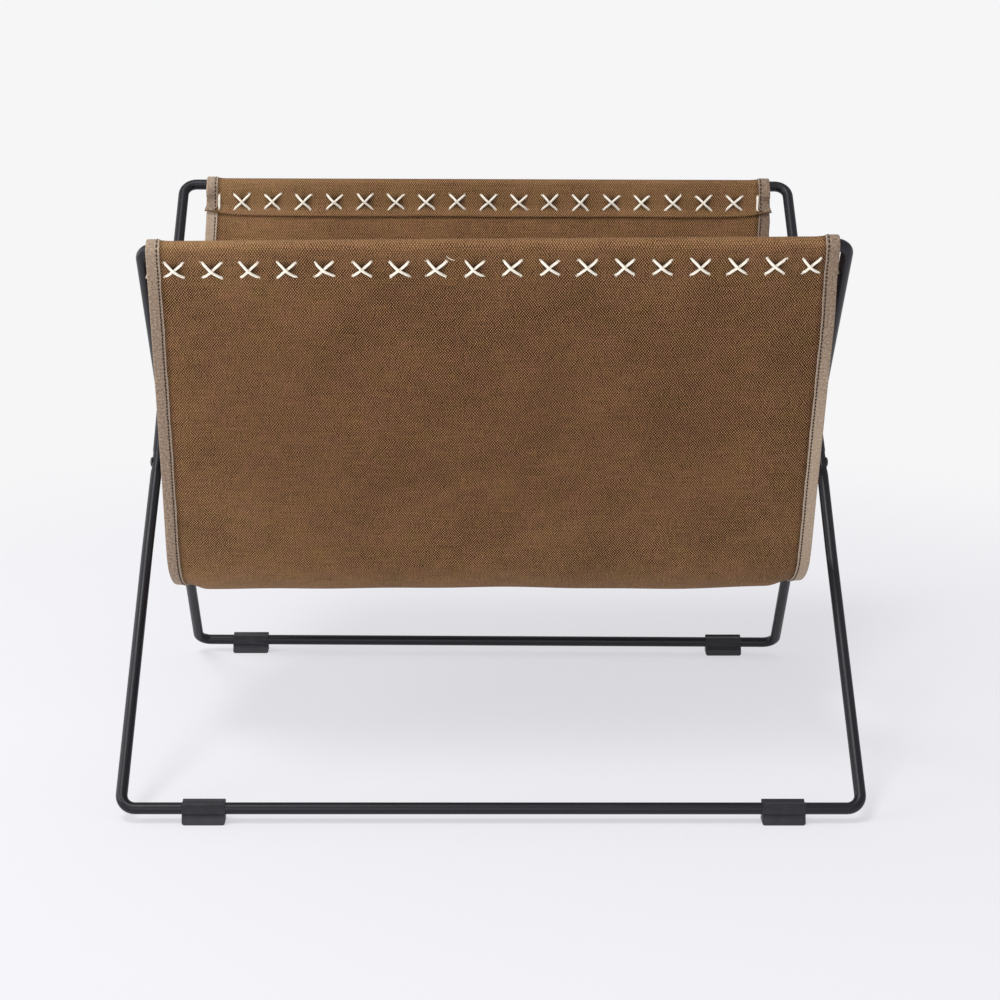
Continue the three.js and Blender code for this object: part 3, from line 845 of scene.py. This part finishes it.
# Cotton twill tape: matt, with fine diagonal ribs, a painted highlight along the ridge of each edge,
# and pressed in along the row of stitches, where the groove is painted a little darker as shade. The
# ribs are drawn at 0.8 mm, twice their real spacing, so that they show. Parts of the two tapes are
# painted paler as light where the lamps leave them dim, and other parts are made darker.
rib_pitch = 0.8 * mm
soil_grain = 1.25 * mm
seam_depth = 0.16 * mm
twill_tape, tree = empty_material("cotton_twill_tape")
place = add_node(tree, "UVMap", uv_map="tape")
axes = add_node(tree, "SeparateXYZ", {0: place.outputs[0]})
diagonal = add_node(tree, "Math", {0: axes.outputs[0], 1: axes.outputs[1]}, operation="ADD")
rib = add_node(tree, "Math", {0: diagonal.outputs[0], 1: 2 * math.pi / rib_pitch},
               operation="MULTIPLY")
rib = add_node(tree, "Math", {0: rib.outputs[0]}, operation="SINE")
inset = add_node(tree, "Math", {0: axes.outputs[0]}, operation="ABSOLUTE")
# A painted highlight along the ridge of each of the tape's edges.
edge_highlight = add_node(tree, "MapRange", {"Value": inset.outputs[0],
                                       "From Min": tape_reach - 0.5 * mm,
                                       "From Max": tape_reach - 0.1 * mm},
                    interpolation_type="SMOOTHSTEP")
from_seam = add_node(tree, "Math", {0: inset.outputs[0], 1: stitch_inset}, operation="SUBTRACT")
from_seam = add_node(tree, "Math", {0: from_seam.outputs[0]}, operation="ABSOLUTE")
seam = add_node(tree, "MapRange", {"Value": from_seam.outputs[0], "From Min": 0.9 * mm,
                                   "From Max": 0.1 * mm}, interpolation_type="SMOOTHSTEP")
needle = add_node(tree, "Math", {0: axes.outputs[1], 1: 2 * math.pi / stitch_length},
                  operation="MULTIPLY")
needle = add_node(tree, "Math", {0: needle.outputs[0]}, operation="COSINE")
needle = add_node(tree, "MapRange", {"Value": needle.outputs[0], "From Min": -1, "To Min": 0.5})
# The stitches press a groove that bumps the tape, and the groove is painted a little darker as shade.
pressed = add_node(tree, "Math", {0: seam.outputs[0], 1: needle.outputs[0]}, operation="MULTIPLY")
soiled = add_node(tree, "TexNoise", {"Vector": place.outputs[0], "Scale": 1 / soil_grain,
                                     "Detail": 3, "Roughness": 0.7})
soiled_share = add_node(tree, "MapRange", {"Value": soiled.outputs["Fac"], "From Min": 0.36,
                                           "From Max": 0.64})
tone = add_node(tree, "Mix", {0: soiled_share.outputs[0], 6: linear("6b5949"), 7: linear("bba38d")},
                data_type="RGBA")
# Painted light where the lamps leave the tapes dim, and darker parts, from the tape's two attributes.
fade = add_node(tree, "Attribute", attribute_name="tape_painted_light")
tape_darker = add_node(tree, "Attribute", attribute_name="tape_darkening")
rib_share = add_node(tree, "MapRange", {"Value": rib.outputs[0], "From Min": -1})
for cause, strength, colour in ((fade.outputs["Fac"], 0.5, "d8c2aa"),
                                (tape_darker.outputs["Fac"], 1, "5c4636"),
                                (rib_share.outputs[0], 0.45, "6f6058"),
                                (pressed.outputs[0], 0.15, "5d5048"),
                                (edge_highlight.outputs[0], 0.5, "c2b4a5")):
    share = add_node(tree, "Math", {0: cause, 1: strength}, operation="MULTIPLY")
    tone = add_node(tree, "Mix", {0: share.outputs[0], 6: tone.outputs[2], 7: linear(colour)},
                    data_type="RGBA")
height = add_node(tree, "Math", {0: rib.outputs[0], 1: 0.15}, operation="MULTIPLY")
height = add_node(tree, "Math", {0: height.outputs[0], 1: pressed.outputs[0]},
                  operation="SUBTRACT")
relief = add_node(tree, "Bump", {"Height": height.outputs[0], "Strength": 0.6,
                                 "Distance": 0.25 * mm})
shader = add_node(tree, "BsdfPrincipled", {
    "Base Color": tone.outputs[2], "Roughness": 0.85, "IOR": 1.45, "Specular IOR Level": 0.25,
    "Sheen Weight": 0.1, "Sheen Roughness": 0.5, "Normal": relief.outputs[0],
})
add_node(tree, "OutputMaterial", {"Surface": shader.outputs[0]})


def edge_binding(name, node, way):
    """One tape, from a flat grid whose columns wrap from the outer face round to the inner. They lie
    close together at the woven edges and at the stitches."""
    face_stops = [step * mm for step in (6.5, 6.35, 6.1, 5.8, 5.5, 5.2, 4.8, 4.2, 3.2, 1.9, 0.7)]
    section = [(inset, inset, 1) for inset in face_stops]
    section += [(-0.5 * mm * math.sin(turn), 0, math.cos(turn))
                for turn in (step * math.pi / 6 for step in range(7))]
    section += [(inset, -inset, -1) for inset in reversed(face_stops)]

    bm = bmesh.new()
    tape_uv = bm.loops.layers.uv.new("tape")
    # Painted light, and darkening, on the tape.
    tape_painted_light = bm.verts.layers.float.new("tape_painted_light")
    tape_darkening = bm.verts.layers.float.new("tape_darkening")
    bmesh.ops.create_grid(bm, x_segments=len(section) - 1, y_segments=len(rows) - 1, size=1)
    tape_place = {}
    for vert in bm.verts:
        column = round((vert.co.x + 1) / 2 * (len(section) - 1))
        tape_place[vert] = (*section[column], rows[round((vert.co.y + 1) / 2 * (len(rows) - 1))])
    for face in bm.faces:
        for loop in face.loops:
            _, tape_u, _, along = tape_place[loop.vert]
            loop[tape_uv].uv = (tape_u, along)
    for vert, (inset, _, side, along) in tape_place.items():
        from_end = min(along, cut_length - along)
        # The tape is cut short with the flap and flares there, its woven edge wavers, and the
        # stitches press a groove in it.
        from_end += flap_short * max(1 - from_end / flap_length, 0)
        flare = 1.2 * mm * math.exp(-((from_end - flap_short) / (2.5 * mm)) ** 2)
        waver = (0.12 * mm * math.sin(along / (7 * mm) + way)
                 + 0.1 * mm * math.sin(along / (2.9 * mm)))
        groove = seam_depth * math.exp(-((inset - stitch_inset) / (0.6 * mm)) ** 2)
        reach = canvas_half_width - inset + flare + waver * smooth_step(inset, 3 * mm, tape_reach)
        vert.co = hung(way * reach, from_end if along <= half_length else cut_length - from_end,
                       side * (tape_lie - groove))
        inside, drop = (1 - side) / 2, (front_bar.z - vert.co.z) / (front_bar.z - pouch_bottom)
        below_hem = smooth_step(drop, 0.06, 0.09)
        # Painted light: the right tape is painted paler lower down, and the left tape's inner face and
        # its top too, where the lamps leave them dim. The right tape is made darker near the top of its
        # outer face and on its inner face, most below the hem, and the left tape a little in a band
        # down its middle.
        if way > 0:
            vert[tape_painted_light] = 0.75 * smooth_step(drop, 0.15, 0.6)
            outer_darkening = 0.25 * (1 - smooth_step(drop, 0, 0.35))
            vert[tape_darkening] = outer_darkening + (0.1 + 0.5 * below_hem - outer_darkening) * inside
        else:
            vert[tape_painted_light] = max((1.9 - 0.9 * below_hem) * inside,
                              0.4 * (1 - smooth_step(drop, 0, 0.12)))
            vert[tape_darkening] = 0.1 * smooth_step(drop, 0.1, 0.25) * (1 - smooth_step(drop, 0.6, 0.9))
    bmesh.ops.recalc_face_normals(bm, faces=bm.faces)

    tape = finished_piece(name, bm, twill_tape)
    thick = tape.modifiers.new("thickness", "SOLIDIFY")
    thick.thickness = tape_thickness
    thick.offset = 0
    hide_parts(node)
    follow_both_frames(tape)


edge_binding("tape_binding_left", "edge_binding_left", -1)
edge_binding("tape_binding_right", "edge_binding_right", 1)


# ---- Binding stitches ----
# One row of lockstitch in dark brown polyester thread holds each tape. The upper thread shows on the
# outside, and the bobbin thread on the inside between the two flaps.

thread_radius = 0.36 * mm

# Spun polyester: dull dark brown, twisted from fine fibres, with a grain of 0.4 mm.
sewing_thread = grained_material("spun_polyester_thread", 0.417 * mm, 2, ("1d1510", "33271e"),
                                 {"Roughness": 0.6, "Specular IOR Level": 0.2},
                                 relief=(0.3, 0.06 * mm))


def drawn_tube(name, runs, radius, sides, materials, closed=False):
    """Thread or cord as a mesh, along runs of points, each with its place in the materials."""
    curve = bpy.data.curves.new(name, "CURVE")
    curve.dimensions = "3D"
    curve.bevel_depth = radius
    curve.bevel_resolution = sides
    curve.use_fill_caps = not closed
    for material in materials:
        curve.materials.append(material)
    for points, widths, which in runs:
        spline = curve.splines.new("POLY")
        spline.points.add(len(points) - 1)
        spline.use_cyclic_u = closed
        spline.material_index = which
        for spot, point, width in zip(spline.points, points, widths):
            spot.co = (*point, 1)
            spot.radius = width
    laid = bpy.data.objects.new(name, curve)
    bpy.context.scene.collection.objects.link(laid)
    bpy.context.view_layer.update()
    mesh = bpy.data.meshes.new_from_object(laid)
    bpy.data.objects.remove(laid)
    mesh.shade_smooth()
    piece = bpy.data.objects.new(name, mesh)
    bpy.context.scene.collection.objects.link(piece)
    return piece


def stitch_row(name, way, side, first, last):
    """A row of stitches from one length along the panel to another, on one face of the tape. In each
    stitch the thread comes up out of the cloth, lies on it and goes down again."""
    hand = random.Random(name)
    beat = ((0, -1.4), (0.15, -0.9), (0.26, 0), (0.5, 0.12), (0.74, 0), (0.85, -0.9))
    surface = tape_lie + tape_thickness / 2 - seam_depth
    points = []
    for stitch in range(round((last - first) / stitch_length)):
        start = first + stitch * stitch_length
        sway = hand.uniform(-0.06, 0.06) * mm
        for share, rise in beat:
            across = way * (canvas_half_width - stitch_inset + sway * math.sin(share * math.pi))
            points.append(hung(across, start + share * stitch_length,
                               side * (surface + rise * mm)))
    row = drawn_tube(name, [(points, [1] * len(points), 0)], thread_radius, 1, [sewing_thread])
    follow_both_frames(row)


flap_cover = panel_start + flap_length + 2 * mm
for side_name, way in (("left", -1), ("right", 1)):
    stitch_row("outer_stitches_" + side_name, way, 1, 4 * mm, cut_length - 4 * mm)
    stitch_row("inner_stitches_" + side_name, way, -1, flap_cover, cut_length - flap_cover)


# ---- Lacing ----
# A waxed cotton cord runs out along each hem and back again through pairs of punched eyelets, so
# that it makes a row of crosses on each face. A straight stitch inside closes each end.

cord_radius = 0.76 * mm
fibre_radius = 0.2 * mm
over_height, under_height = 2.3 * mm, 0.9 * mm
lacing_hand = random.Random(18)

# Waxed braided cotton: cream, soft and matt, with a fine braid and a little tan dust from the duck.
# The braid turns once in every 1.4 mm of its cord, which is 1.24 m long.
braid_turns = 900
dust_speck = 1.92 * mm
cord_cotton, tree = empty_material("waxed_braided_cotton")
place = add_node(tree, "UVMap", uv_map="UVMap")
axes = add_node(tree, "SeparateXYZ", {0: place.outputs[0]})
run = add_node(tree, "Math", {0: axes.outputs[0], 1: 2 * math.pi * braid_turns},
               operation="MULTIPLY")
around = add_node(tree, "Math", {0: axes.outputs[1], 1: 4 * math.pi}, operation="MULTIPLY")
strands = []
for way in ("ADD", "SUBTRACT"):
    wound = add_node(tree, "Math", {0: run.outputs[0], 1: around.outputs[0]}, operation=way)
    strands.append(add_node(tree, "Math", {0: wound.outputs[0]}, operation="SINE"))
braid = add_node(tree, "Math", {0: strands[0].outputs[0], 1: strands[1].outputs[0]},
                 operation="MULTIPLY")
solid_place = add_node(tree, "TexCoord")
dust = add_node(tree, "TexNoise", {"Vector": solid_place.outputs["Object"],
                                   "Scale": 1 / dust_speck, "Detail": 3})
dust_share = add_node(tree, "MapRange", {"Value": dust.outputs["Fac"], "From Min": 0.54,
                                         "From Max": 0.8})
tone = add_node(tree, "Mix", {0: dust_share.outputs[0], 6: linear("fff8ea"), 7: linear("ead8bd")},
                data_type="RGBA")
relief = add_node(tree, "Bump", {"Height": braid.outputs[0], "Strength": 0.5,
                                 "Distance": 0.12 * mm})
shader = add_node(tree, "BsdfPrincipled", {
    "Base Color": tone.outputs[2], "Roughness": 0.7, "IOR": 1.45, "Specular IOR Level": 0.3,
    "Sheen Weight": 0.3, "Sheen Roughness": 0.4, "Normal": relief.outputs[0],
})
add_node(tree, "OutputMaterial", {"Surface": shader.outputs[0]})

# Frayed duck: the dull tan ends of the threads that the eyelets were punched through.
frayed_duck = grained_material("frayed_duck_threads", 1.67 * mm, 1, ("b08a5c", "e2caa4"),
                               {"Roughness": 0.85, "Sheen Weight": 0.2})


def over_hem(hem, face, across, down, out):
    """A point over the front (1) or back (-1) hem, outside (1) or inside (-1), down from the bar."""
    along = panel_start + down if face > 0 else flap_length - down
    if hem > 0:
        return hung(across, along, out)
    return hung(across * back_row_stretch, cut_length - along, out)


def lacing(name, node, hem, body):
    """One hem's cord, and the fluff where its eyelets were punched by hand."""
    def sits(index, row):
        return (eyelet_x(index) + lacing_hand.uniform(-0.4, 0.4) * mm,
                row + lacing_hand.uniform(-0.5, 0.5) * mm)

    pairs = [(sits(index, upper_row), sits(index, lower_row)) for index in range(eyelet_pairs)]
    out_run = [(index, index % 2) for index in range(eyelet_pairs)]
    back_run = [(index, 1 - index % 2) for index in reversed(range(eyelet_pairs))]
    visits = [(index, row, 1 if row == 0 else -1) for index, row in out_run + back_run]

    points, widths, frays = [], [], []
    for place, (index, row, face) in enumerate(visits):
        next_index, next_row, _ = visits[(place + 1) % len(visits)]
        start, end = pairs[index][row], pairs[next_index][next_row]
        going_out = place < eyelet_pairs
        crosses = index != next_index
        lies_over = crosses and going_out == (face > 0)
        crest = over_height if lies_over else under_height
        bow = lacing_hand.uniform(-0.35, 0.35) * mm * crosses
        skew = lacing_hand.uniform(-0.18, 0.18) * mm * crosses
        run_x, run_down = end[0] - start[0], end[1] - start[1]
        span = math.hypot(run_x, run_down)
        for share in (0, 0.05, 0.12, 0.22, 0.34, 0.44, 0.5, 0.56, 0.66, 0.78, 0.88, 0.95, 1):
            wave = bow * math.sin(share * math.pi) + skew * math.sin(share * 2 * math.pi)
            across = start[0] + run_x * share - wave * run_down / span
            down = start[1] + run_down * share + wave * run_x / span
            edge = min(share, 1 - share)
            rise = (-0.35 + 1.1 * smooth_step(edge, 0, 0.11)) * mm
            rise += (crest - 0.75 * mm) * smooth_step(edge, 0.05, 0.5)
            points.append(over_hem(hem, face, across, down, rise))
            widths.append(0.9 + 0.1 * smooth_step(edge, 0, 0.15))
        frays += [(face, *start), (face, *end)]
    cord = drawn_tube(name, [(points, widths, 0)], cord_radius, 2, [cord_cotton], closed=True)
    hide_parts(node)
    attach(cord, body)

    fibres = []
    for face, across, down in frays:
        for _ in range(4):
            turn = lacing_hand.uniform(0, 2 * math.pi)
            curl = lacing_hand.uniform(-3.5, 3.5)
            length = lacing_hand.uniform(0.7, 1.9) * mm
            steps = 5
            spot_x, spot_down = across, down
            line = []
            for step in range(steps):
                rise = (0.25 + 0.5 * math.sin(step / (steps - 1) * math.pi)) * mm
                line.append(over_hem(hem, face, spot_x, spot_down, rise))
                spot_x += math.cos(turn) * length / steps
                spot_down += math.sin(turn) * length / steps
                turn += curl / steps
            fibres.append((line, [1, 1, 0.9, 0.7, 0.3], lacing_hand.choice((0, 0, 0, 1))))
    if hem > 0:
        # One loose strand of cotton lies under the bar, left of the middle.
        strand = [over_hem(1, 1, (-24.8 + 4.4 * share) * mm, (2.9 + 3.6 * share - share ** 2) * mm,
                           (0.6 + 0.5 * math.sin(share * math.pi)) * mm)
                  for share in (0, 0.25, 0.5, 0.75, 1)]
        fibres.append((strand, [0.8, 1, 1.2, 1, 0.6], 0))
    fluff = drawn_tube(name + "_fluff", fibres, fibre_radius, 0, [cord_cotton, frayed_duck])
    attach(fluff, body)


lacing("front_lacing", "lacing_cord_front", 1, "narrow_side")
lacing("back_lacing", "lacing_cord_back", -1, "wide_side")


low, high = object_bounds()
